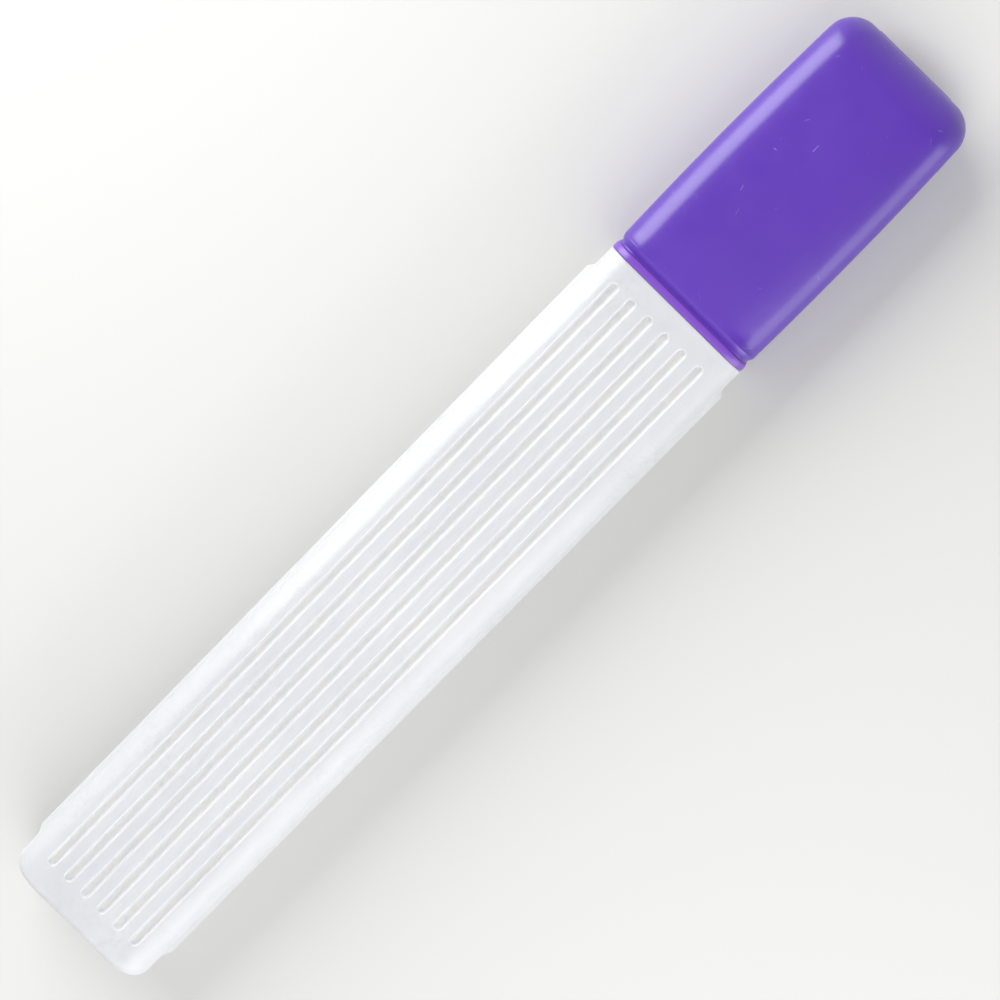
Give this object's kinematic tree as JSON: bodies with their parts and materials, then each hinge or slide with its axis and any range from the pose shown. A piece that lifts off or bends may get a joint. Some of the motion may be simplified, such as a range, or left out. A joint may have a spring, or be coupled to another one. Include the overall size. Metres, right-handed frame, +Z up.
{
  "type": "knitting needle storage case",
  "caption": "Long flat case for straight knitting needles: a milky translucent body with lengthwise grooves and side keels, closed by a coloured pull-off cap.",
  "frame": {"origin": "under the middle of the closed case, on the surface that it lies on", "axes": "+X runs along the case from the closed base to the end of the cap; +Y runs across the width; +Z is up, through the thickness"},
  "size_m": [0.381, 0.0588, 0.032],
  "materials": {
    "natural_polyethylene": "milky translucent natural polyethylene, satin, with fine tool marks across the long edges",
    "purple_polyethylene": "opaque purple polyethylene, satin, with light handling scratches"
  },
  "bodies": {
    "body": {"case_body": "natural_polyethylene"},
    "cap": {"cap": "purple_polyethylene"}
  },
  "joints": [
    {"name": "cap_pull", "type": "slide", "parent": "body", "child": "cap", "axis": [1, 0, 0], "range_m": [0, 0.06]}
  ]
}
